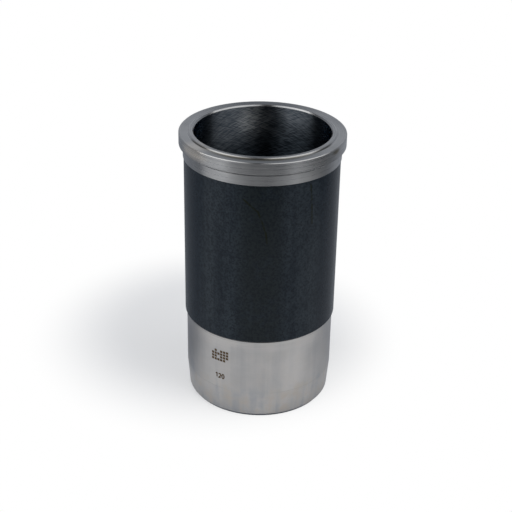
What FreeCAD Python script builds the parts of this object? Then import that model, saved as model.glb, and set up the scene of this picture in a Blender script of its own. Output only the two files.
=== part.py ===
import FreeCAD, Part
import os
import Sketcher

# Wet cylinder liner of a truck diesel engine: one iron casting, turned outside, bored and honed inside.
# It stands on its foot. Z is the axis of the bore, z = 0 is the foot face and the flange is at the top.
# Walls are counted outwards from the bore and lengths upwards from the foot, each on top of the one before.

# Driving sizes in millimetres: name, value, what it measures
driving_sizes = [
    ("bore_diameter", 120.0, "honed running surface of the piston"),
    ("foot_wall", 3.2, "wall at the foot face"),
    ("foot_chamfer_width", 2.1, "how far the foot chamfer comes in"),
    ("foot_chamfer_length", 2.8, "height of the foot chamfer"),
    ("lead_in_drop", 2.0, "how far the lead-in cone comes in"),
    ("lead_in_length", 23.8, "height of the lead-in cone that enters the seals of the block"),
    ("guide_length", 53.6, "height of the bare guide band above the lead-in"),
    ("barrel_step", 1.6, "barrel over guide band, on the radius"),
    ("step_length", 1.9, "height of the cone between guide band and barrel"),
    ("barrel_length", 150.6, "height of the coated barrel that stands in the coolant"),
    ("band_step", 0.65, "locating band over barrel, on the radius"),
    ("band_length", 11.5, "height of the locating band with its relief"),
    ("band_chamfer", 0.3, "lower edge of the locating band"),
    ("relief_width", 2.2, "height of the relief groove under the flange"),
    ("relief_depth", 0.9, "depth of the relief groove"),
    ("relief_corner", 0.4, "corner radius in the relief groove"),
    ("flange_overhang", 3.55, "flange over locating band, on the radius"),
    ("flange_height", 10.6, "seat to flange face"),
    ("flange_rim_chamfer", 0.6, "upper outer edge of the flange"),
    ("seat_edge_chamfer", 0.4, "lower outer edge of the flange"),
    ("ring_height", 1.1, "fire ring over flange face"),
    ("crown_wall", 3.7, "bore to the outer edge of the fire ring's crown"),
    ("shoulder_width", 1.2, "slope of the fire ring, on the radius"),
    ("shoulder_round", 0.4, "radii at the top and the root of that slope"),
    ("mouth_width", 1.0, "how far the mouth of the bore opens out"),
    ("mouth_length", 1.2, "height of the mouth cone that guides the piston rings in"),
    ("bore_foot_chamfer", 1.0, "lower edge of the bore"),
]

# Radii, from the bore outwards
bore_radius = "Sizes.bore_diameter / 2"
mouth_radius = bore_radius + " + Sizes.mouth_width"
crown_radius = bore_radius + " + Sizes.crown_wall"
shoulder_radius = crown_radius + " + Sizes.shoulder_width"
foot_radius = bore_radius + " + Sizes.foot_wall"
lead_in_radius = foot_radius + " + Sizes.foot_chamfer_width"
guide_radius = lead_in_radius + " + Sizes.lead_in_drop"
barrel_radius = guide_radius + " + Sizes.barrel_step"
band_radius = barrel_radius + " + Sizes.band_step"
relief_radius = band_radius + " - Sizes.relief_depth"
flange_radius = band_radius + " + Sizes.flange_overhang"

# Heights, from the foot upwards
foot_face = "0"
foot_chamfer_top = "Sizes.foot_chamfer_length"
lead_in_top = foot_chamfer_top + " + Sizes.lead_in_length"
guide_top = lead_in_top + " + Sizes.guide_length"
barrel_foot = guide_top + " + Sizes.step_length"
barrel_top = barrel_foot + " + Sizes.barrel_length"
seat_face = barrel_top + " + Sizes.band_length"
relief_foot = seat_face + " - Sizes.relief_width"
flange_face = seat_face + " + Sizes.flange_height"
crown_face = flange_face + " + Sizes.ring_height"
mouth_foot = crown_face + " - Sizes.mouth_length"

# Half section of the wall, from the foot of the bore around the outside and back down the bore
wall_corners = [
    (bore_radius, foot_face),
    (foot_radius, foot_face),
    (lead_in_radius, foot_chamfer_top),
    (guide_radius, lead_in_top),
    (guide_radius, guide_top),
    (barrel_radius, barrel_foot),
    (barrel_radius, barrel_top),
    (band_radius, barrel_top),
    (band_radius, seat_face),
    (flange_radius, seat_face),
    (flange_radius, flange_face),
    (shoulder_radius, flange_face),
    (crown_radius, crown_face),
    (mouth_radius, crown_face),
    (bore_radius, mouth_foot),
]

# Section of the relief groove. It reaches past the band, so that the cut leaves no skin there
relief_corners = [
    (relief_radius, relief_foot),
    (flange_radius, relief_foot),
    (flange_radius, seat_face),
    (relief_radius, seat_face),
]

same_place = 1e-4


def fill_sheet(doc):
    # One row for each size: its name, its value and what it measures
    sheet = doc.addObject("Spreadsheet::Sheet", "Sizes")
    for row, (name, value, meaning) in enumerate(driving_sizes, start=1):
        sheet.set("A%d" % row, name)
        sheet.set("B%d" % row, str(value))
        sheet.set("C%d" % row, meaning)
        sheet.setAlias("B%d" % row, name)
    doc.recompute()
    return sheet


def section(body, name, corners):
    # A closed outline of straight lines in the plane of radius and height, each corner held by two sizes
    sketch = body.newObject("Sketcher::SketchObject", name)
    plane = next(item for item in body.Origin.OriginFeatures if item.Role == "XZ_Plane")
    sketch.AttachmentSupport = (plane, [""])
    sketch.MapMode = "FlatFace"
    points = [FreeCAD.Vector(body.evalExpression(x), body.evalExpression(z), 0) for x, z in corners]
    following = points[1:] + points[:1]
    for here, there in zip(points, following):
        sketch.addGeometry(Part.LineSegment(here, there), False)
    for line in range(len(points)):
        after = (line + 1) % len(points)
        sketch.addConstraint(Sketcher.Constraint("Coincident", line, 2, after, 1))
    for line, (x, z) in enumerate(corners):
        across = sketch.addConstraint(Sketcher.Constraint("DistanceX", -1, 1, line, 1, points[line].x))
        sketch.setExpression("Constraints[%d]" % across, x)
        if z == foot_face:
            sketch.addConstraint(Sketcher.Constraint("PointOnObject", line, 1, -1))
        else:
            up = sketch.addConstraint(Sketcher.Constraint("DistanceY", -1, 1, line, 1, points[line].y))
            sketch.setExpression("Constraints[%d]" % up, z)
    return sketch


def turn(body, kind, name, sketch):
    # Turns a section once around the axis of the bore, to add or to cut
    feature = body.newObject(kind, name)
    feature.Profile = sketch
    feature.ReferenceAxis = (sketch, ["V_Axis"])
    feature.Angle = 360.0
    sketch.Document.recompute()
    return feature


def round_edge(feature, radius, height):
    # The name of the circular edge of a feature that has this radius and lies at this height
    r = feature.evalExpression(radius)
    z = feature.evalExpression(height)
    for number, edge in enumerate(feature.Shape.Edges, start=1):
        if not isinstance(edge.Curve, Part.Circle):
            continue
        if abs(edge.Curve.Radius - r) < same_place and abs(edge.Curve.Center.z - z) < same_place:
            return "Edge%d" % number
    raise ValueError("%s has no edge of radius %.3f at height %.3f" % (feature.Name, r, z))


def dress(body, kind, name, size, places):
    # A chamfer or a fillet on circular edges, bound to one size of the sheet
    base = body.Tip
    feature = body.newObject(kind, name)
    feature.Base = (base, [round_edge(base, radius, height) for radius, height in places])
    feature.setExpression("Radius" if kind == "PartDesign::Fillet" else "Size", "Sizes." + size)
    body.Document.recompute()
    return feature


def build_liner(doc):
    body = doc.addObject("PartDesign::Body", "CylinderLiner")
    body.Label = "cylinder_liner"
    body.Placement = FreeCAD.Placement()

    # The turned wall with all its steps
    wall = section(body, "WallSection", wall_corners)
    turn(body, "PartDesign::Revolution", "TurnedWall", wall)

    # The relief that lets the flange seat down to the corner of its counterbore
    before = body.Shape.Volume
    relief = section(body, "ReliefSection", relief_corners)
    turn(body, "PartDesign::Groove", "SeatRelief", relief)
    if body.Shape.Volume >= before:
        raise ValueError("the relief groove cuts nothing")
    relief_edges = [(relief_radius, relief_foot), (relief_radius, seat_face)]
    dress(body, "PartDesign::Fillet", "ReliefCorners", "relief_corner", relief_edges)

    # The broken edges of flange, locating band and bore
    dress(body, "PartDesign::Chamfer", "FlangeRim", "flange_rim_chamfer", [(flange_radius, flange_face)])
    dress(body, "PartDesign::Chamfer", "SeatEdge", "seat_edge_chamfer", [(flange_radius, seat_face)])
    dress(body, "PartDesign::Chamfer", "BandEdge", "band_chamfer", [(band_radius, barrel_top)])
    dress(body, "PartDesign::Chamfer", "BoreFoot", "bore_foot_chamfer", [(bore_radius, foot_face)])

    # The fire ring's slope runs smoothly into its crown and into the flange face
    slope_edges = [(crown_radius, crown_face), (shoulder_radius, flange_face)]
    dress(body, "PartDesign::Fillet", "RingShoulder", "shoulder_round", slope_edges)
    return body


def check(doc, bodies):
    # Stops before anything is written if an object failed or a piece isn't one sound solid
    for item in doc.Objects:
        if "Invalid" in item.State or "Error" in item.State:
            raise ValueError("%s failed" % item.Name)
    for body in bodies:
        if body.Shape.isNull() or not body.Shape.isValid() or len(body.Shape.Solids) != 1:
            raise ValueError("%s is not one sound solid" % body.Label)


def main():
    doc = FreeCAD.newDocument("CylinderLiner")
    fill_sheet(doc)
    bodies = [build_liner(doc)]
    doc.recompute()
    check(doc, bodies)
    os.makedirs("parts", exist_ok=True)
    for body in bodies:
        body.Shape.exportStep("parts/%s.step" % body.Label)
        box = body.Shape.BoundBox
        print(body.Label, "%.2f x %.2f x %.2f mm" % (box.XLength, box.YLength, box.ZLength))
        print("volume %.0f mm3, faces %d" % (body.Shape.Volume, len(body.Shape.Faces)))


main()
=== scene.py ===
import bpy
import numpy as np
from mathutils import Matrix, Vector


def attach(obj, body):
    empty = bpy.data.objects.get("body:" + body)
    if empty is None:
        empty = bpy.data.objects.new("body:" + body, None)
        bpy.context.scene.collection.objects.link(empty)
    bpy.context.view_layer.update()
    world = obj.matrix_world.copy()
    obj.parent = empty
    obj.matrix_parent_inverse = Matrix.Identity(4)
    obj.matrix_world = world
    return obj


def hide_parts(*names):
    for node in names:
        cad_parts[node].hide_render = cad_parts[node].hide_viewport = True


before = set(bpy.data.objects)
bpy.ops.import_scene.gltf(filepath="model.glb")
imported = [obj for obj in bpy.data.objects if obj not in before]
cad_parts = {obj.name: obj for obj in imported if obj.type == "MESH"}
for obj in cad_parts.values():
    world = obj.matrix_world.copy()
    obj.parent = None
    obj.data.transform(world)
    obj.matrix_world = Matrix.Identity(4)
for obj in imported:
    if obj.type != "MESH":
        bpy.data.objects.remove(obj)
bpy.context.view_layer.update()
print("frame loaded:", ", ".join(sorted(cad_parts)))

linerNode = "cylinder_liner"


# Node trees: arithmetic on a wire adds Math nodes, and every other node comes from NodeTree.add

class Wire:
    def __init__(self, nodes, socket):
        self.nodes = nodes
        self.socket = socket

    def maths(self, operation, first, second=0.0):
        return self.nodes.add("ShaderNodeMath", {"operation": operation}, {0: first, 1: second})

    def __add__(self, other):
        return self.maths("ADD", self, other)

    def __radd__(self, other):
        return self.maths("ADD", other, self)

    def __sub__(self, other):
        return self.maths("SUBTRACT", self, other)

    def __rsub__(self, other):
        return self.maths("SUBTRACT", other, self)

    def __mul__(self, other):
        return self.maths("MULTIPLY", self, other)

    def __rmul__(self, other):
        return self.maths("MULTIPLY", other, self)

    def __truediv__(self, other):
        return self.maths("DIVIDE", self, other)

    def __rtruediv__(self, other):
        return self.maths("DIVIDE", other, self)

    def __pow__(self, other):
        return self.maths("POWER", self, other)


class NodeTree:
    def __init__(self, tree):
        self.tree = tree
        tree.nodes.clear()

    def add(self, kind, settings=None, sockets=None, output=0):
        # The settings are set first, because they change which sockets a node has
        node = self.tree.nodes.new(kind)
        for name, value in (settings or {}).items():
            setattr(node, name, value)
        for name, value in (sockets or {}).items():
            if isinstance(value, Wire):
                self.tree.links.new(value.socket, node.inputs[name])
            else:
                node.inputs[name].default_value = value
        return Wire(self, node.outputs[output] if len(node.outputs) else None)   # an output node has none


def objectPlace(nodes):
    # The point on the object as a vector and as its three numbers, all in metres
    place = nodes.add("ShaderNodeTexCoord", output="Object")
    return [place] + [nodes.add("ShaderNodeSeparateXYZ", None, {0: place}, axis) for axis in range(3)]


def joined(nodes, x, y, z):
    return nodes.add("ShaderNodeCombineXYZ", None, {0: x, 1: y, 2: z})


def noise(nodes, place, scale, detail, roughness):
    return nodes.add("ShaderNodeTexNoise", {"noise_dimensions": "3D"},
                     {"Vector": place, "Scale": scale, "Detail": detail, "Roughness": roughness})


def ringNoise(nodes, travel, scale, detail, roughness):
    # Noise along one number, the same all the way round a ring
    return nodes.add("ShaderNodeTexNoise", {"noise_dimensions": "1D"},
                     {"W": travel, "Scale": scale, "Detail": detail, "Roughness": roughness})


def drawnNoise(nodes, x, y, z, across, along, detail, roughness):
    # Noise with one scale for x and y and another for z, which draws it out into lines or streaks
    return noise(nodes, joined(nodes, x * across, y * across, z * along), 1.0, detail, roughness)


def weighed(shares, *parts):
    # The parts added up, each times its share
    total = parts[0] * shares[0]
    for share, part in zip(shares[1:], parts[1:]):
        total = total + part * share
    return total


def between(nodes, value, low, high):
    # 0 below low, 1 above high, and a smooth step from one to the other
    return nodes.add("ShaderNodeMapRange", {"interpolation_type": "SMOOTHSTEP"},
                     {"Value": value, "From Min": low, "From Max": high, "To Min": 0.0, "To Max": 1.0})


def beyond(nodes, value, low, high):
    # 0 where value is nearer to 0 than low, on either side, 1 further off than high, and a smooth step of its
    # square from one to the other
    return between(nodes, value * value, low ** 2, high ** 2)


def closeTo(nodes, value, middle, reach):
    # 1 where value is at middle, and 0 where it is further from it than reach
    return 1.0 - beyond(nodes, value - middle, 0.0, reach)


def blended(nodes, share, first, second):
    # A colour on the way from first to second
    return nodes.add("ShaderNodeMix", {"data_type": "RGBA", "clamp_factor": True},
                     {0: share, 6: first, 7: second}, 2)


def unevenRoughness(values, *parts):
    # A finish's own roughness, and more of it where the noises are strong
    return weighed(values["roughnessShares"], *parts) * values["roughnessRise"] + values["roughness"]


def bumped(nodes, height, depth):
    # depth in metres is how far a height of 1 stands out
    return nodes.add("ShaderNodeBump", None, {"Height": height, "Distance": depth, "Strength": 1.0})


def roundWall(nodes, x, y, radius):
    # Distance round a wall of this radius, 0 in front and growing to the right
    return nodes.add("ShaderNodeMath", {"operation": "ARCTAN2"}, {0: x, 1: 0.0 - y}) * radius


def oval(nodes, arc, z, middle, reach, core=0.2):
    # 1 in the core of an oval on the wall and 0 at its edge. Middle and reach are given as arc and height
    across = (arc - middle[0]) / reach[0]
    along = (z - middle[1]) / reach[1]
    return 1.0 - between(nodes, (across * across + along * along) ** 0.5, core, 1.0)


def stroke(nodes, arc, z, start, end, width):
    # 1 on a straight line on the wall from start to end, given as arc and height, and 0 beside it
    length = float(np.hypot(end[0] - start[0], end[1] - start[1]))
    turn, rise = (end[0] - start[0]) / length, (end[1] - start[1]) / length
    travel = (arc - start[0]) * turn + (z - start[1]) * rise
    aside = (arc - start[0]) * rise - (z - start[1]) * turn
    begun = between(nodes, travel, -width, width)
    ended = between(nodes, travel, length - width, length + width)
    return begun * (1.0 - ended) * closeTo(nodes, aside, 0.0, width)


def finish(name, sockets):
    # Makes a material. sockets is a function that takes the tree and gives the shader's socket values
    material = bpy.data.materials.new(name)
    material.use_nodes = True
    nodes = NodeTree(material.node_tree)
    shader = nodes.add("ShaderNodeBsdfPrincipled", None, sockets(nodes))
    nodes.add("ShaderNodeOutputMaterial", None, {"Surface": shader})
    return material


# The liner, turned from its section. Sizes in metres, walls counted from the bore outwards,
# heights from the foot upwards

liner = {
    "boreRadius": 0.0600,
    "footWall": 0.0032,
    "footChamferWidth": 0.0021,
    "footChamferLength": 0.0028,
    "leadInDrop": 0.0020,
    "leadInLength": 0.0238,
    "guideLength": 0.0536,
    "barrelStep": 0.0016,
    "stepLength": 0.0019,
    "barrelLength": 0.1506,
    "bandStep": 0.00065,
    "bandLength": 0.0115,
    "bandChamfer": 0.0003,
    "reliefWidth": 0.0022,
    "reliefDepth": 0.0009,
    "reliefCorner": 0.0004,
    "flangeOverhang": 0.00355,
    "flangeHeight": 0.0106,
    "rimChamfer": 0.0006,
    "seatEdgeChamfer": 0.0004,
    "ringHeight": 0.0011,
    "crownWall": 0.0037,
    "shoulderWidth": 0.0012,
    "mouthWidth": 0.0010,
    "mouthLength": 0.0012,
    "boreFootChamfer": 0.0010,
    "shoulderRound": 0.0004,   # radii at the top and the root of the fire ring's slope
    "brokenEdge": 0.00012,     # how far every other edge is rounded
    "roundTurn": 480,          # steps round the axis
    "roundEdge": 5,            # steps round an edge
    "edgeHold": 0.0002,        # a line this far beside each rounded edge keeps the flats flat
}


def linerPlaces(size):
    # Radii and heights of the steps, worked out from the driving sizes
    bore = size["boreRadius"]
    foot = bore + size["footWall"]
    leadIn = foot + size["footChamferWidth"]
    guide = leadIn + size["leadInDrop"]
    barrel = guide + size["barrelStep"]
    band = barrel + size["bandStep"]
    leadInTop = size["footChamferLength"] + size["leadInLength"]
    guideTop = leadInTop + size["guideLength"]
    barrelFoot = guideTop + size["stepLength"]
    barrelTop = barrelFoot + size["barrelLength"]
    seat = barrelTop + size["bandLength"]
    flangeFace = seat + size["flangeHeight"]
    return {
        "bore": bore, "foot": foot, "leadIn": leadIn, "guide": guide, "barrel": barrel, "band": band,
        "relief": band - size["reliefDepth"], "flange": band + size["flangeOverhang"],
        "crown": bore + size["crownWall"], "shoulder": bore + size["crownWall"] + size["shoulderWidth"],
        "leadInTop": leadInTop, "guideTop": guideTop, "barrelFoot": barrelFoot, "barrelTop": barrelTop,
        "seat": seat, "flangeFace": flangeFace, "crownFace": flangeFace + size["ringHeight"],
    }


places = linerPlaces(liner)


def linerSection(size):
    # Corners of the wall as radius, height and edge radius, and the finish of the side that follows each
    edge = size["brokenEdge"]
    soft = size["shoulderRound"]
    groove = size["reliefCorner"]
    bore, guide, barrel, band, relief, flange = (
        places[name] for name in ("bore", "guide", "barrel", "band", "relief", "flange"))
    barrelTop, seat, flangeFace, crownFace = (
        places[name] for name in ("barrelTop", "seat", "flangeFace", "crownFace"))
    return [
        (bore + size["boreFootChamfer"], 0.0, edge, "guideIron"),
        (places["foot"], 0.0, edge, "guideIron"),
        (places["leadIn"], size["footChamferLength"], edge, "guideIron"),
        (guide, places["leadInTop"], edge, "guideIron"),
        (guide, places["guideTop"], edge, "blackCoating"),
        (barrel, places["barrelFoot"], edge, "blackCoating"),
        (barrel, barrelTop, edge, "blackCoating"),
        (band - size["bandChamfer"], barrelTop, edge, "blackCoating"),
        (band, barrelTop + size["bandChamfer"], edge, "turnedIron"),
        (band, seat - size["reliefWidth"], edge, "turnedIron"),
        (relief, seat - size["reliefWidth"], groove, "turnedIron"),
        (relief, seat, groove, "turnedIron"),
        (flange - size["seatEdgeChamfer"], seat, edge, "turnedIron"),
        (flange, seat + size["seatEdgeChamfer"], edge, "turnedIron"),
        (flange, flangeFace - size["rimChamfer"], edge, "turnedIron"),
        (flange - size["rimChamfer"], flangeFace, edge, "turnedIron"),
        (places["shoulder"], flangeFace, soft, "turnedIron"),
        (places["crown"], crownFace, soft, "turnedIron"),
        (bore + size["mouthWidth"], crownFace, edge, "turnedIron"),
        (bore, crownFace - size["mouthLength"], edge, "honedBore"),
        (bore, size["boreFootChamfer"], edge, "guideIron"),
    ]


def roundedOutline(corners, radii, steps, hold):
    # Each corner gives way to an arc. It starts and ends radius / tan(half the inner angle) from the corner,
    # and its points are the two end directions from its centre, mixed as sines of the share of the turn.
    before = np.roll(corners, 1, 0) - corners
    after = np.roll(corners, -1, 0) - corners
    before /= np.linalg.norm(before, axis=1, keepdims=True)
    after /= np.linalg.norm(after, axis=1, keepdims=True)
    inner = np.arccos((before * after).sum(1))[:, None]
    reach = radii[:, None] / np.tan(inner / 2)
    middle = before + after
    middle *= radii[:, None] / np.sin(inner / 2) / np.linalg.norm(middle, axis=1, keepdims=True)
    centre = corners + middle
    first = corners + before * reach - centre
    last = corners + after * reach - centre
    turn = (np.pi - inner)[:, None]
    share = np.linspace(0.0, 1.0, steps + 1)[None, :, None]
    arc = np.sin((1 - share) * turn) * first[:, None] + np.sin(share * turn) * last[:, None]
    arc = centre[:, None] + arc / np.sin(turn)
    start = corners + before * (reach + hold)
    end = corners + after * (reach + hold)
    return np.concatenate([start[:, None], arc, end[:, None]], 1)


def turnedPiece(name, outline, roundTurn):
    # Every outline point (radius, height) goes round the axis: x = radius cos, y = radius sin, z = height
    angle = np.arange(roundTurn) * (2 * np.pi / roundTurn)
    radius = outline[:, :1]
    height = np.broadcast_to(outline[:, 1:], (len(outline), roundTurn))
    points = np.stack([radius * np.cos(angle), radius * np.sin(angle), height], 2)
    here = np.arange(points.shape[0] * roundTurn).reshape(-1, roundTurn)
    beside = np.roll(here, -1, 1)
    quads = np.stack([here, beside, np.roll(beside, -1, 0), np.roll(here, -1, 0)], 2).reshape(-1, 4)
    mesh = bpy.data.meshes.new(name)
    mesh.vertices.add(here.size)
    mesh.vertices.foreach_set("co", points.ravel())
    mesh.loops.add(quads.size)
    mesh.loops.foreach_set("vertex_index", quads.ravel())
    mesh.polygons.add(len(quads))
    mesh.polygons.foreach_set("loop_start", np.arange(len(quads)) * 4)
    mesh.polygons.foreach_set("use_smooth", np.ones(len(quads), bool))
    mesh.update(calc_edges=True)
    mesh.validate()
    piece = bpy.data.objects.new(name, mesh)
    bpy.context.scene.collection.objects.link(piece)
    return piece


# Finishes of the liner. A noise is given as its scale in 1/m, its detail and its roughness, and a drawn-out
# one with two scales: that of x and y, then that of the height or the tool's travel. Shares say how much of
# each noise is in a mix, and a range is where the mix goes from none to full. Spots and patches are given as
# their middle and their reach, each as arc from the front and height.

lineTurn = 0.25   # of a full turn: lathe lines and strokes spread a highlight across them

turnedIron = {
    "dark": (0.270, 0.277, 0.288, 1.0),
    "light": (0.450, 0.452, 0.453, 1.0),
    "grooves": (2600.0, 2.0, 0.5),
    "bands": (640.0, 2.0, 0.5),
    "lines": (22.0, 1150.0, 2.0, 0.5),   # single lathe lines
    "smudges": (24.0, 3.0, 0.6),
    "toneShares": (0.20, 0.25, 0.13, 0.42),   # of grooves, bands, lines and smudges
    "toneRange": (0.32, 0.68),
    "topFrom": 0.0006,        # the painted shade and the painted dark reflections start this far below the flange face
    "topTo": 0.0002,          # and lie in full from here upwards
    "brownShadeAndReflection": (0.13, 0.115, 0.08, 1.0),   # dark brown painted shade in the corner of the fire ring, in front, and the colour of a painted brown reflection
    "brownShadeAndReflectionShare": 0.88,
    "cornerShadeInside": 0.0010,      # how far it climbs the fire ring's slope
    "cornerShadeFull": 0.0004,        # how far it is full on the flange face, and how far it reaches there
    "cornerShadeReach": 0.0054,
    "cornerShadeRound": 0.068,        # how far round it reaches on both sides
    "cornerShadeRange": (0.20, 0.55),
    "brownReflectionSpot": ((0.0740, 0.2520), (0.009, 0.0034)),
    "darkReflection": (0.022, 0.020, 0.014, 1.0),   # painted dark reflections: thin black lines in the same corner
    "darkReflectionShare": 0.90,
    "darkReflectionArcs": [(-0.0725, 0.019), (0.0665, 0.019)],   # middle and reach of each, round the flange
    "darkReflectionFull": 0.0002,
    "darkReflectionReach": 0.0016,
    "warmReflection": (0.86, 0.79, 0.70, 1.0),     # painted warm reflection: a lighter warm patch on the rim
    "warmReflectionSpot": ((-0.0690, 0.2505), (0.024, 0.0075)),
    "spotShares": (0.6, 0.4),            # of smudges and lines
    "spotRange": (0.30, 0.60),
    "roughness": 0.23,
    "roughnessRise": 0.10,
    "roughnessShares": (0.6, 0.4),       # of bands and smudges
    "mouthRoughness": 0.24,   # the cone at the mouth of the bore is cut finer,
    "mouthEdge": 0.0002,      # up to this far from its outer edge
    "grooveDepth": 0.000004,
    "anisotropy": 0.70,
}


def turnedIronSockets(nodes):
    values = turnedIron
    place, x, y, z = objectPlace(nodes)
    radius = (x * x + y * y) ** 0.5
    arc = roundWall(nodes, x, y, places["flange"])
    travel = z - radius
    grooves = ringNoise(nodes, travel, *values["grooves"])
    bands = ringNoise(nodes, travel, *values["bands"])
    lines = drawnNoise(nodes, x, y, travel, *values["lines"])
    smudges = noise(nodes, place, *values["smudges"])
    tone = weighed(values["toneShares"], grooves, bands, lines, smudges)
    metal = blended(nodes, between(nodes, tone, *values["toneRange"]), values["dark"], values["light"])

    # A painted warm reflection: a lighter warm patch on the left of the rim
    spotty = between(nodes, weighed(values["spotShares"], smudges, lines), *values["spotRange"])
    metal = blended(nodes, oval(nodes, arc, z, *values["warmReflectionSpot"]) * spotty, metal, values["warmReflection"])

    # Painted shade and painted dark reflections lie where the fire ring's slope meets the flange face
    face, corner = places["flangeFace"], places["shoulder"]
    onTop = between(nodes, z, face - values["topFrom"], face - values["topTo"])
    inCorner = between(nodes, radius, corner - values["cornerShadeInside"], corner) * onTop
    outward = 1.0 - between(nodes, radius, corner + values["cornerShadeFull"], corner + values["cornerShadeReach"])
    brownShadeAndReflection = inCorner * outward * closeTo(nodes, arc, 0.0, values["cornerShadeRound"])
    brownShadeAndReflection = brownShadeAndReflection * between(nodes, smudges, *values["cornerShadeRange"])
    # A painted brown reflection on the right of the flange's side, in the same colour
    brownShadeAndReflection = brownShadeAndReflection + oval(nodes, arc, z, *values["brownReflectionSpot"]) * spotty
    metal = blended(nodes, brownShadeAndReflection * values["brownShadeAndReflectionShare"], metal, values["brownShadeAndReflection"])
    # Painted dark reflections: thin black arcs in that corner on both sides
    darkReflection = 0.0
    for middle, reach in values["darkReflectionArcs"]:
        darkReflection = closeTo(nodes, arc, middle, reach) + darkReflection
    outward = 1.0 - between(nodes, radius, corner + values["darkReflectionFull"], corner + values["darkReflectionReach"])
    metal = blended(nodes, darkReflection * inCorner * outward * values["darkReflectionShare"], metal, values["darkReflection"])

    mouth = liner["boreRadius"] + liner["mouthWidth"]
    onMouth = 1.0 - between(nodes, radius, mouth - values["mouthEdge"], mouth)
    roughness = unevenRoughness(values, bands, smudges)
    return {
        "Base Color": metal,
        "Metallic": 1.0,
        "Roughness": roughness + (values["mouthRoughness"] - roughness) * onMouth,
        "Anisotropic": values["anisotropy"],
        "Anisotropic Rotation": lineTurn,
        "Normal": bumped(nodes, grooves, values["grooveDepth"]),
    }


guideIron = {
    "dark": (0.372, 0.369, 0.371, 1.0),
    "light": (0.484, 0.472, 0.461, 1.0),
    "wipes": (140.0, 7.0, 4.0, 0.55),    # upright wiping streaks
    "lines": (18.0, 900.0, 2.0, 0.5),    # lathe lines
    "grooves": (2200.0, 2.0, 0.5),
    "clouds": (30.0, 3.0, 0.6),
    "stains": (80.0, 4.0, 0.65),
    "toneShares": (0.36, 0.44, 0.05, 0.10),   # of wipes, clouds, lines and grooves
    "toneRange": (0.31, 0.66),
    "highLines": 0.30,        # further share of the lathe lines at the top of the band,
    "highReach": 0.016,       # down to this far below it
    "brightReflection": (0.60, 0.580, 0.560, 1.0),  # painted reflection: one patch brighter
    "brightReflectionShare": 0.40,
    "brightReflectionPatch": ((0.0330, 0.0500), (0.020, 0.034)),
    "smearShares": (0.6, 0.4),           # of stains and wipes
    "brown": (0.44, 0.395, 0.345, 1.0),
    "brownShares": (0.12, 0.50),         # all over, and further on the lead-in cone
    "brownRange": (0.46, 0.62),
    "steel": (0.31, 0.335, 0.37, 1.0),
    "steelShares": (0.06, 0.32),
    "steelRange": (0.36, 0.50),
    "stainFoot": 0.002,       # the stains start to thin out this far below the top of the lead-in cone
    "stainTop": 0.038,        # and end at this height
    "scuffs": [((0.0655, 0.0275), (0.0065, 0.0060)), ((-0.0760, 0.0300), (0.010, 0.012))],
    "scuffShare": 0.55,
    "scuffRange": (0.30, 0.60),
    "edgeShade": (0.17, 0.165, 0.16, 1.0),    # painted shade along the cone's edge and under the coating's edge
    "edgeShadeShare": 0.50,
    "coneEdgeShade": (0.0, 0.0004, 0.45),     # how far below its edge it lies, half its width and its share
    "coatEdgeShade": (0.0012, 0.0005, 0.70),
    "edgeShadeRange": (0.40, 0.65),
    "footChamferShade": (0.115, 0.135, 0.165, 1.0),   # painted shade on the chamfer at the foot
    "footShadeFade": (0.0004, 0.0006),        # below and above its upper edge
    "roughness": 0.28,
    "roughnessRise": 0.12,
    "roughnessShares": (0.5, 0.5),       # of wipes and clouds
    "grooveDepth": 0.000003,
    "anisotropy": 0.3,
}


def guideIronSockets(nodes):
    values = guideIron
    place, x, y, z = objectPlace(nodes)
    arc = roundWall(nodes, x, y, places["guide"])
    wipes = drawnNoise(nodes, x, y, z, *values["wipes"])
    lines = drawnNoise(nodes, x, y, z, *values["lines"])
    grooves = ringNoise(nodes, z, *values["grooves"])
    clouds = noise(nodes, place, *values["clouds"])
    stains = noise(nodes, place, *values["stains"])
    high = between(nodes, z, places["guideTop"] - values["highReach"], places["guideTop"])
    tone = weighed(values["toneShares"], wipes, clouds, lines, grooves) + lines * high * values["highLines"]
    metal = blended(nodes, between(nodes, tone, *values["toneRange"]), values["dark"], values["light"])
    # A painted brighter reflection in one patch on the right of the band
    brightReflection = oval(nodes, arc, z, *values["brightReflectionPatch"]) * values["brightReflectionShare"]
    metal = blended(nodes, brightReflection, metal, values["brightReflection"])

    # Brown and steel-blue smears, most of them on the lead-in cone, and two scuffs
    low = 1.0 - between(nodes, z, places["leadInTop"] - values["stainFoot"], values["stainTop"])
    smears = weighed(values["smearShares"], stains, wipes)
    few, more = values["brownShares"]
    brown = (few + more * low) * between(nodes, smears, *values["brownRange"])
    metal = blended(nodes, brown, metal, values["brown"])
    few, more = values["steelShares"]
    steel = (few + more * low) * (1.0 - between(nodes, smears, *values["steelRange"]))
    metal = blended(nodes, steel, metal, values["steel"])
    scuffed = between(nodes, stains, *values["scuffRange"])
    for middle, reach in values["scuffs"]:
        scuff = oval(nodes, arc, z, middle, reach) * values["scuffShare"] * scuffed
        metal = blended(nodes, scuff, metal, values["steel"])

    # Painted shade along the upper edge of the lead-in cone and under the coating's edge, then painted shade
    # on the chamfer at the foot
    shadedEdges = 0.0
    for edge, (below, reach, share) in (("leadInTop", values["coneEdgeShade"]), ("guideTop", values["coatEdgeShade"])):
        shadedEdges = closeTo(nodes, z, places[edge] - below, reach) * share + shadedEdges
    shadedEdges = shadedEdges * between(nodes, clouds, *values["edgeShadeRange"]) * values["edgeShadeShare"]
    metal = blended(nodes, shadedEdges, metal, values["edgeShade"])
    below, above = values["footShadeFade"]
    footTop = liner["footChamferLength"]
    atFoot = 1.0 - between(nodes, z, footTop - below, footTop + above)
    return {
        "Base Color": blended(nodes, atFoot, metal, values["footChamferShade"]),
        "Metallic": 1.0,
        "Roughness": unevenRoughness(values, wipes, clouds),
        "Anisotropic": values["anisotropy"],
        "Anisotropic Rotation": lineTurn,
        "Normal": bumped(nodes, grooves, values["grooveDepth"]),
    }


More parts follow.
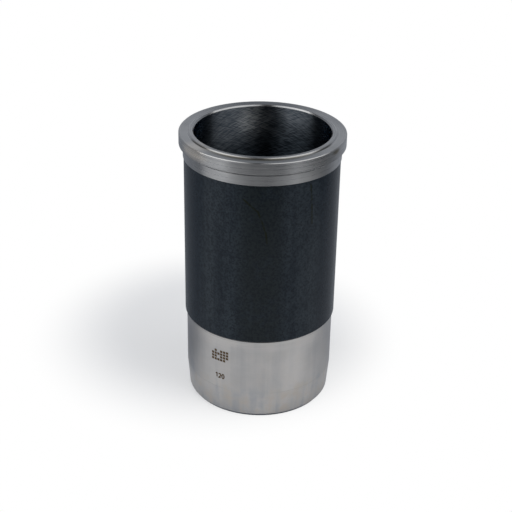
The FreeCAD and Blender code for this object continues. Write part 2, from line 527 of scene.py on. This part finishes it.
blackCoating = {
    "blue": (0.0112, 0.0172, 0.0252, 1.0),
    "slate": (0.0275, 0.0374, 0.0475, 1.0),
    "patches": (24.0, 3.0, 0.6),
    "mottles": (190.0, 3.0, 0.6),
    "streaks": (130.0, 5.0, 3.0, 0.5),
    "grain": (520.0, 3.0, 0.65),
    "toneShares": (0.35, 0.30, 0.35),         # of patches, mottles and streaks
    "toneRange": (0.34, 0.59),
    "oliveFrontShade": (0.0138, 0.0192, 0.0222, 1.0),   # painted shade: darker olive in front, up to this arc
    "frontShadeTo": 0.026,
    "frontShadeShares": (0.7, 0.3),                # of patches and mottles
    "frontShadeRange": (0.32, 0.50),
    "sideShadeShare": 0.80,
    "sideShadeFrom": 0.044,        # arcs between which painted shade darkens the sides to blue,
    "sideShadeTo": 0.064,
    "sideShadeEndFrom": 0.084,        # and between which that painted shade ends again
    "sideShadeEndTo": 0.112,
    "pit": (0.0040, 0.0070, 0.0120, 1.0),     # between the grains
    "pitShare": 0.60,
    "pitRange": (0.38, 0.58),
    "run": (0.0080, 0.0098, 0.0010, 1.0),     # two fine runs
    "runs": [[(-0.0155, 0.2201), (-0.0078, 0.2135), (-0.0028, 0.2092), (0.0008, 0.2001), (0.0043, 0.1889),
              (0.0054, 0.1794)],
             [(0.0440, 0.2296), (0.0458, 0.2144), (0.0469, 0.1916)]],
    "runWidth": 0.0010,
    "runShare": 0.80,
    "runRange": (0.30, 0.55),
    "gloss": 0.115,
    "roughness": 0.20,
    "roughnessRise": 0.10,
    "roughnessShares": (0.4, 0.6),            # of patches and streaks
    "bumpShares": (0.6, 0.4),                 # of grain and mottles
    "bumpDepth": 0.00006,
}


def blackCoatingSockets(nodes):
    values = blackCoating
    place, x, y, z = objectPlace(nodes)
    arc = roundWall(nodes, x, y, places["barrel"])
    patches = noise(nodes, place, *values["patches"])
    mottles = noise(nodes, place, *values["mottles"])
    streaks = drawnNoise(nodes, x, y, z, *values["streaks"])
    grain = noise(nodes, place, *values["grain"])
    tone = weighed(values["toneShares"], patches, mottles, streaks)
    coat = blended(nodes, between(nodes, tone, *values["toneRange"]), values["blue"], values["slate"])
    # Painted shade: darker olive in front, and darker blue at the sides
    oliveFrontShade = between(nodes, weighed(values["frontShadeShares"], patches, mottles), *values["frontShadeRange"])
    coat = blended(nodes, closeTo(nodes, arc, 0.0, values["frontShadeTo"]) * oliveFrontShade, coat, values["oliveFrontShade"])
    # Painted shade: darker blue at both sides
    sides = beyond(nodes, arc, values["sideShadeFrom"], values["sideShadeTo"])
    sides = sides * (1.0 - beyond(nodes, arc, values["sideShadeEndFrom"], values["sideShadeEndTo"]))
    coat = blended(nodes, sides * values["sideShadeShare"], coat, values["blue"])
    pits = (1.0 - between(nodes, grain, *values["pitRange"])) * values["pitShare"]
    coat = blended(nodes, pits, coat, values["pit"])
    run = 0.0
    for points in values["runs"]:
        for start, end in zip(points, points[1:]):
            run = stroke(nodes, arc, z, start, end, values["runWidth"]) + run
    run = run * values["runShare"] * between(nodes, mottles, *values["runRange"])
    return {
        "Base Color": blended(nodes, run, coat, values["run"]),
        "Metallic": 0.0,
        "Roughness": unevenRoughness(values, patches, streaks),
        "Specular IOR Level": values["gloss"],
        "Normal": bumped(nodes, weighed(values["bumpShares"], grain, mottles), values["bumpDepth"]),
    }


honedBore = {
    "dark": (0.060, 0.074, 0.094, 1.0),
    "light": (0.196, 0.217, 0.242, 1.0),
    "strokeRise": 22.0,       # degrees that a honing stroke climbs from level
    "strokesAcross": 1200.0,  # strokes per metre across their direction
    "strokesAlong": 260.0,
    "strokesApart": 5.0,      # keeps the two hands of strokes from being alike
    "strokeNoise": (1.0, 3.0, 0.6),
    "strokeShares": (0.5, 0.5),
    "toneRange": (0.39, 0.63),
    # Patches are given as arc from the back and height
    "paintedHighlight": (0.52, 0.55, 0.57, 1.0),        # painted highlight: the strokes brighter where the lamps are mirrored
    "paintedHighlightPatch": ((-0.0085, 0.2415), (0.0205, 0.0210)),
    "shadePatch": ((0.0150, 0.2370), (0.0140, 0.0130)),
    "shadePatchShare": 0.60,
    "deepShade": (0.006, 0.009, 0.013, 1.0),       # painted shade further down the bore,
    "deepShadeStrokes": (0.060, 0.076, 0.094, 1.0),   # and the strokes under it
    "deepShadeFrom": 0.244,
    "deepShadeTo": 0.213,
    "deepShadeSlant": 0.27,        # the painted shade's edge climbs this much for each metre to the right
    "sideShadeShare": 0.90,
    "sideShadeFrom": 0.026,        # x from the axis where the painted shade reaches up to the mouth
    "sideShadeTo": 0.058,
    "grazing": (0.03, 0.04, 0.05, 1.0),       # tint of what it mirrors at a flat angle
    "roughness": 0.42,
    "roughnessRise": 0.10,
    "strokeDepth": 0.00002,
    "anisotropy": 1.0,
}


def honedStrokes(nodes, x, y, z, hand):
    # Strokes of one hand, 1 or -1. The distance across them is wound on a circle as long as what one turn of
    # the bore adds to it, so the pattern meets itself. The noise is read at the cosine and the sine of
    # phase = (z cos rise - hand arc sin rise) / radius of that circle
    values = honedBore
    rise = np.radians(values["strokeRise"])
    radius = places["bore"]
    climb = 2 * np.pi * radius * np.sin(rise)
    arc = roundWall(nodes, x, y, radius)
    phase = (z * float(np.cos(rise)) - arc * float(hand * np.sin(rise))) * (2 * np.pi / climb)
    ring = values["strokesAcross"] * climb / (2 * np.pi)
    across = nodes.add("ShaderNodeMath", {"operation": "COSINE"}, {0: phase}) * ring
    aside = nodes.add("ShaderNodeMath", {"operation": "SINE"}, {0: phase}) * ring
    along = z * values["strokesAlong"] + values["strokesApart"] * hand
    return noise(nodes, joined(nodes, across, aside, along), *values["strokeNoise"])


def honedBoreSockets(nodes):
    values = honedBore
    x, y, z = objectPlace(nodes)[1:]
    hatch = weighed(values["strokeShares"], *[honedStrokes(nodes, x, y, z, hand) for hand in (1, -1)])
    tone = between(nodes, hatch, *values["toneRange"])
    metal = blended(nodes, tone, values["dark"], values["light"])
    fromBack = roundWall(nodes, x, 0.0 - y, places["bore"])
    # A painted highlight on the back wall
    paintedHighlight = oval(nodes, fromBack, z, *values["paintedHighlightPatch"])
    metal = blended(nodes, paintedHighlight * tone, metal, values["paintedHighlight"])

    # How free of painted shade the wall is: above a slanting edge, but not at the sides nor in one patch
    clear = between(nodes, z - x * values["deepShadeSlant"], values["deepShadeTo"], values["deepShadeFrom"])
    sides = beyond(nodes, x, values["sideShadeFrom"], values["sideShadeTo"])
    sides = sides * between(nodes, z, values["deepShadeTo"], values["deepShadeFrom"]) * values["sideShadeShare"]
    patch = oval(nodes, fromBack, z, *values["shadePatch"]) * values["shadePatchShare"]
    clear = clear * (1.0 - sides) * (1.0 - patch)
    deepShade = blended(nodes, tone, values["deepShade"], values["deepShadeStrokes"])
    return {
        "Base Color": blended(nodes, clear, deepShade, metal),
        "Metallic": 1.0,
        "Specular Tint": values["grazing"],
        "Roughness": hatch * values["roughnessRise"] + values["roughness"],
        "Anisotropic": values["anisotropy"],
        "Anisotropic Rotation": lineTurn,
        "Normal": bumped(nodes, hatch, values["strokeDepth"]),
    }


markInk = {
    "dark": (0.040, 0.023, 0.009, 1.0),
    "light": (0.110, 0.069, 0.029, 1.0),
    "spots": (900.0, 3.0, 0.6),
    "spotRange": (0.35, 0.65),
    "gloss": 0.3,
    "roughness": 0.55,
}


def markInkSockets(nodes):
    values = markInk
    place = objectPlace(nodes)[0]
    spots = between(nodes, noise(nodes, place, *values["spots"]), *values["spotRange"])
    return {
        "Base Color": blended(nodes, spots, values["dark"], values["light"]),
        "Metallic": 0.0,
        "Roughness": values["roughness"],
        "Specular IOR Level": values["gloss"],
    }


def makeLiner():
    section = linerSection(liner)
    corners = np.array([corner[:2] for corner in section])
    radii = np.array([corner[2] for corner in section])
    outline = roundedOutline(corners, radii, liner["roundEdge"], liner["edgeHold"])
    piece = turnedPiece("liner_body", outline.reshape(-1, 2), liner["roundTurn"])
    makers = {
        "turnedIron": turnedIronSockets,
        "guideIron": guideIronSockets,
        "blackCoating": blackCoatingSockets,
        "honedBore": honedBoreSockets,
    }
    order = list(makers)
    for name in order:
        piece.data.materials.append(finish(name, makers[name]))
    # The first half of an arc belongs to the side before it, the rest and the flat to the side after it
    after = np.array([order.index(corner[3]) for corner in section])
    before = np.roll(after, 1)
    pointsEach = outline.shape[1]
    turned = np.arange(pointsEach) >= pointsEach // 2
    rows = np.where(turned[None], after[:, None], before[:, None]).ravel()
    piece.data.polygons.foreach_set("material_index", np.repeat(rows, liner["roundTurn"]).astype(np.int32))
    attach(piece, "root")
    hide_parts(linerNode)
    print("liner:", len(piece.data.polygons), "faces")


makeLiner()


# Generic marks on the guide band: a field of plain squares and, below it, the bore in millimetres

bandMarks = {
    "facing": -31.2,          # degrees from the front, negative to the left
    "squaresHeight": 0.0603,
    "squaresAcross": 6,
    "squaresUp": 4,
    "squarePitch": 0.0030,
    "squareSide": 0.0024,
    "squaresShare": 0.80,
    "seed": 11,
    "digitsHeight": 0.0389,
    "digitWidth": 0.0021,     # between the middles of its strokes
    "digitTall": 0.0042,
    "digitPitch": 0.0034,
    "strokeWidth": 0.0012,
    "proud": 0.00003,
    "sunk": 0.00003,
    "bend": 0.0006,           # longest straight stretch of a stroke on the round wall
    # Middles of the strokes of each digit, in its own width and height, and whether the line closes
    "digitLines": {
        "1": ([(0.10, 0.80), (0.40, 1.0), (0.70, 1.0), (0.70, 0.0)], False),
        "2": ([(0.0, 0.75), (0.25, 1.0), (0.75, 1.0), (1.0, 0.75), (1.0, 0.58), (0.0, 0.0),
               (1.0, 0.0)], False),
        "0": ([(0.3, 0.0), (0.7, 0.0), (1.0, 0.25), (1.0, 0.75), (0.7, 1.0), (0.3, 1.0), (0.0, 0.75),
               (0.0, 0.25)], True),
    },
}


def finelySplit(points, closed, longest):
    # The same line with no stretch longer than longest: point = start + (end - start) times step / count
    ends = np.roll(points, -1, 0) if closed else points[1:]
    starts = points if closed else points[:-1]
    pieces = []
    for start, end in zip(starts, ends):
        count = int(np.ceil(np.linalg.norm(end - start) / longest))
        pieces.append(start + (end - start) * (np.arange(count) / count)[:, None])
    if not closed:
        pieces.append(points[-1:])
    return np.concatenate(pieces)


def inkedLine(points, closed, values):
    # A flat bar along a line of arc and height. Each point moves aside by half the width along the mitre, and
    # the four corners there, two sunk in the guide band and two proud of it, are wound on it:
    # turn = arc / guide radius + facing, x = radius sin turn, y = -radius cos turn, z = height
    points = finelySplit(np.array(points), closed, values["bend"])
    forward = np.roll(points, -1, 0) - points
    backward = points - np.roll(points, 1, 0)
    if not closed:
        forward[-1] = backward[-1]
        backward[0] = forward[0]
    forward /= np.linalg.norm(forward, axis=1, keepdims=True)
    backward /= np.linalg.norm(backward, axis=1, keepdims=True)
    mitre = forward + backward
    mitre /= np.linalg.norm(mitre, axis=1, keepdims=True)
    stretch = values["strokeWidth"] / 2 / (mitre * forward).sum(1)
    aside = np.stack([-mitre[:, 1], mitre[:, 0]], 1) * stretch[:, None]
    low, high = places["guide"] - values["sunk"], places["guide"] + values["proud"]
    corners = []
    for shift, radius in ((1, low), (-1, low), (-1, high), (1, high)):
        flat = points + aside * shift
        turn = flat[:, 0] / places["guide"] + np.radians(values["facing"])
        corners.append(np.stack([radius * np.sin(turn), -radius * np.cos(turn), flat[:, 1]], 1))
    corners = np.stack(corners, 1)
    here = np.arange(len(points) * 4).reshape(-1, 4)
    after = np.roll(here, -1, 0)
    if not closed:
        here, after = here[:-1], after[:-1]
    quads = np.stack([here, after, np.roll(after, -1, 1), np.roll(here, -1, 1)], 2).reshape(-1, 4)
    if not closed:
        quads = np.concatenate([quads, [[3, 2, 1, 0]], [after[-1]]])
    return corners.reshape(-1, 3), quads


def squareBars(values):
    # A field of squares with some left out. Each is a bar as wide as it is long
    filled = np.random.default_rng(values["seed"]).random((values["squaresUp"], values["squaresAcross"]))
    up, across = np.nonzero(filled < values["squaresShare"])
    left = (across - (values["squaresAcross"] - 1) / 2) * values["squarePitch"]
    middle = values["squaresHeight"] + (up - (values["squaresUp"] - 1) / 2) * values["squarePitch"]
    half = values["squareSide"] / 2
    square = dict(values, strokeWidth=values["squareSide"])
    return [inkedLine([(x - half, z), (x + half, z)], False, square) for x, z in zip(left, middle)]


def digitBars(values, text):
    # The digits of a number side by side, round the same middle as the squares
    foot = values["digitsHeight"] - values["digitTall"] / 2
    bars = []
    for place, digit in enumerate(text):
        points, closed = values["digitLines"][digit]
        start = (place - (len(text) - 1) / 2) * values["digitPitch"] - values["digitWidth"] / 2
        line = [(start + x * values["digitWidth"], foot + z * values["digitTall"]) for x, z in points]
        bars.append(inkedLine(line, closed, values))
    return bars


def makeMarks():
    millimetres = round(2 * liner["boreRadius"] * 1000)
    bars = squareBars(bandMarks) + digitBars(bandMarks, "%d" % millimetres)
    firsts = np.cumsum([0] + [len(points) for points, quads in bars[:-1]])
    points = np.concatenate([bar[0] for bar in bars])
    quads = np.concatenate([bar[1] + first for bar, first in zip(bars, firsts)])
    mesh = bpy.data.meshes.new("guide_band_marks")
    mesh.from_pydata(points.tolist(), [], quads.tolist())
    mesh.materials.append(finish("markInk", markInkSockets))
    piece = bpy.data.objects.new("guide_band_marks", mesh)
    bpy.context.scene.collection.objects.link(piece)
    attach(piece, "root")
    print("marks:", len(quads), "faces")


makeMarks()


# The stage: a plain pale floor, two soft lamps and a pale room

stage = {
    "floorFront": 0.50,       # the floor ends as a table does: this far in front of the liner,
    "floorLeft": 0.70,
    "floorRight": 0.50,
    "floorBack": 3.0,
    "floorLines": 9,          # lines of its grid each way
    "floorColour": (0.90, 0.92, 0.955, 1.0),
    "nearWhite": 0.36,        # share of plain white in what the camera sees of the paper round the foot
    "shadeX": -0.045,         # middle of that shaded paper
    "shadeY": 0.085,
    "whiteFrom": 0.085,       # between these distances from it the floor turns into the white background
    "whiteTo": 0.195,
    "mirroredWhite": 0.30,    # share of a glow in what the metal mirrors of the paper,
    "footShade": 0.022,       # except this close to the foot
    "mirroredFront": -0.10,   # the glow turns bluish from here
    "mirroredBack": 0.15,     # to here
    # painted reflection: the glow's bluish colour behind, which the metal mirrors
    "mirroredGlowBehind": (0.36, 0.40, 0.47, 1.0),
    "paintedSideShadows": (0.12, 0.14, 0.175, 1.0),   # painted shadows behind on both sides, where the shadows of the lamps fall
    "sidesFrom": 0.04,
    "sidesTo": 0.10,
    "sidesBehind": (-0.10, 0.05),
    "sidesShare": 0.35,       # further share of the glow there
    "rightLess": 0.4,         # how much weaker the right side is than the left one
    "rightTo": 0.05,
    "roomFront": (0.05, 0.052, 0.056, 1.0),
    "roomBack": (0.20, 0.22, 0.25, 1.0),      # a strip straight behind
    "roomSides": (0.68, 0.70, 0.74, 1.0),     # on both sides of it
    "roomStrip": 0.008,       # square of the x at which the strip ends
    "roomFade": 0.6,          # how much the sides fade again further out,
    "roomFadeRange": (0.2, 0.4),   # between these x
    "roomBehind": 0.8,        # y from which the room is all as it is behind
    "white": (1.0, 1.0, 1.0, 1.0),
    "lampAim": (0.0, 0.0, 0.1),
}

softboxes = {
    "keyLamp": {
        "azimuth": 66.0, "elevation": 42.0, "distance": 1.30, "width": 1.45, "height": 1.9,
        "level": 0.40, "colour": (1.0, 0.992, 0.98),
    },
    "fillLamp": {
        "azimuth": -66.0, "elevation": 34.0, "distance": 1.15, "width": 1.1, "height": 1.6,
        "level": 0.34, "colour": (1.0, 0.992, 0.98),
    },
}


def makeFloor():
    # A level grid: x and y run evenly from one side to the other, z is 0
    sideways = np.linspace(-stage["floorLeft"], stage["floorRight"], stage["floorLines"])
    backwards = np.linspace(-stage["floorFront"], stage["floorBack"], stage["floorLines"])
    x, y = np.meshgrid(sideways, backwards, indexing="ij")
    points = np.stack([x, y, np.zeros_like(x)], 2).reshape(-1, 3)
    here = np.arange(x.size).reshape(x.shape)
    quads = np.stack([here[:-1, :-1], here[1:, :-1], here[1:, 1:], here[:-1, 1:]], 2).reshape(-1, 4)
    mesh = bpy.data.meshes.new("floor")
    mesh.from_pydata(points.tolist(), [], quads.tolist())
    floor = bpy.data.objects.new("floor", mesh)
    bpy.context.scene.collection.objects.link(floor)
    mesh.materials.append(floorPaper())


def floorPaper():
    # Pale paper. Far from the liner the camera sees it as the white background, with no edge between them.
    # What the metal mirrors of it is a painted glow, bluish behind and with painted shadows on both sides
    material = bpy.data.materials.new("floorPaper")
    material.use_nodes = True
    nodes = NodeTree(material.node_tree)
    x, y = objectPlace(nodes)[1:3]
    paper = nodes.add("ShaderNodeBsdfPrincipled", None,
                      {"Base Color": stage["floorColour"], "Roughness": 1.0, "Specular IOR Level": 0.0})
    seen = nodes.add("ShaderNodeLightPath", output="Is Camera Ray")
    mirrored = nodes.add("ShaderNodeLightPath", output="Is Glossy Ray")
    behind = between(nodes, y, stage["mirroredFront"], stage["mirroredBack"])
    sides = beyond(nodes, x, stage["sidesFrom"], stage["sidesTo"]) * between(nodes, y, *stage["sidesBehind"])
    sides = sides * (1.0 - stage["rightLess"] * between(nodes, x, 0.0, stage["rightTo"]))
    mirroredColour = blended(nodes, behind, stage["white"], stage["mirroredGlowBehind"])
    mirroredColour = blended(nodes, sides, mirroredColour, stage["paintedSideShadows"])
    glow = nodes.add("ShaderNodeEmission", None, {
        "Color": blended(nodes, mirrored, stage["white"], mirroredColour), "Strength": 1.0})
    away = (x * x + y * y) ** 0.5
    shadeX = x - stage["shadeX"]
    shadeY = y - stage["shadeY"]
    far = between(nodes, (shadeX * shadeX + shadeY * shadeY) ** 0.5, stage["whiteFrom"], stage["whiteTo"])
    whiteness = stage["nearWhite"] + (1.0 - stage["nearWhite"]) * far
    outside = between(nodes, away, places["leadIn"], places["leadIn"] + stage["footShade"])
    share = seen * whiteness + mirrored * outside * (stage["mirroredWhite"] + stage["sidesShare"] * sides)
    surface = nodes.add("ShaderNodeMixShader", None, {0: share, 1: paper, 2: glow})
    nodes.add("ShaderNodeOutputMaterial", None, {"Surface": surface})
    return material


def makeRoom():
    # The camera sees plain white. Everything else is lit by a room that is dark in front and pale behind.
    # x and y are those of a direction: y is 1 straight behind, and x is 1 straight to the right
    world = bpy.data.worlds.new("room")
    bpy.context.scene.world = world
    world.use_nodes = True
    nodes = NodeTree(world.node_tree)
    direction = nodes.add("ShaderNodeTexCoord", output="Generated")
    x, y = [nodes.add("ShaderNodeSeparateXYZ", None, {0: direction}, axis) for axis in range(2)]
    sides = between(nodes, x * x, 0.0, stage["roomStrip"])
    sides = sides * (1.0 - stage["roomFade"] * beyond(nodes, x, *stage["roomFadeRange"]))
    back = blended(nodes, sides, stage["roomBack"], stage["roomSides"])
    room = blended(nodes, between(nodes, y, 0.0, stage["roomBehind"]), stage["roomFront"], back)
    seen = nodes.add("ShaderNodeLightPath", output="Is Camera Ray")
    colour = blended(nodes, seen, room, stage["white"])
    light = nodes.add("ShaderNodeBackground", None, {"Color": colour, "Strength": 1.0})
    nodes.add("ShaderNodeOutputWorld", None, {"Surface": light})


def makeSoftbox(name, box, target):
    # Angles in degrees, azimuth 0 in front of the liner. level is the share of a white floor's brightness
    # that the lamp gives: power = 4 pi level distance squared / sine of the elevation
    azimuth, elevation = np.radians([box["azimuth"], box["elevation"]])
    outward = np.cos(elevation)
    away = Vector((np.sin(azimuth) * outward, -np.cos(azimuth) * outward, np.sin(elevation)))
    lamp = bpy.data.lights.new(name, "AREA")
    lamp.shape = "RECTANGLE"
    lamp.size = box["width"]
    lamp.size_y = box["height"]
    lamp.color = box["colour"]
    lamp.energy = 4 * np.pi * box["level"] * box["distance"] ** 2 / np.sin(elevation)
    holder = bpy.data.objects.new(name, lamp)
    holder.rotation_mode = "QUATERNION"
    holder.location = target + away * box["distance"]
    holder.rotation_quaternion = away.to_track_quat("Z", "Y")
    bpy.context.scene.collection.objects.link(holder)


makeFloor()
makeRoom()
for name, box in softboxes.items():
    makeSoftbox(name, box, Vector(stage["lampAim"]))
print("stage: floor, room and", len(softboxes), "lamps")


# The camera stands in front of the liner and looks down on it. Angles in degrees, lens in millimetres

cameraView = {
    "distance": 0.96137,
    "height": 0.63391,
    "lookDown": 27.572,
    "turnLeft": 0.241,
    "roll": 0.966,
    "lens": 83.40,
    "sensor": 36.0,           # width in millimetres
}


def makeCamera(view):
    # A camera that isn't turned looks straight down. Tipped up by 90 degrees it looks level
    camera = bpy.data.cameras.new("camera")
    camera.lens = view["lens"]
    camera.sensor_width = view["sensor"]
    holder = bpy.data.objects.new("camera", camera)
    tilt = Matrix.Rotation(np.radians(90.0 - view["lookDown"]), 4, "X")
    roll = Matrix.Rotation(np.radians(view["roll"]), 4, "Z")
    turn = Matrix.Rotation(np.radians(view["turnLeft"]), 4, "Z")
    place = Matrix.Translation((0.0, -view["distance"], view["height"]))
    holder.matrix_world = place @ turn @ tilt @ roll
    bpy.context.scene.collection.objects.link(holder)
    bpy.context.scene.camera = holder


makeCamera(cameraView)
bpy.context.scene.view_settings.view_transform = "Standard"
print("camera set")
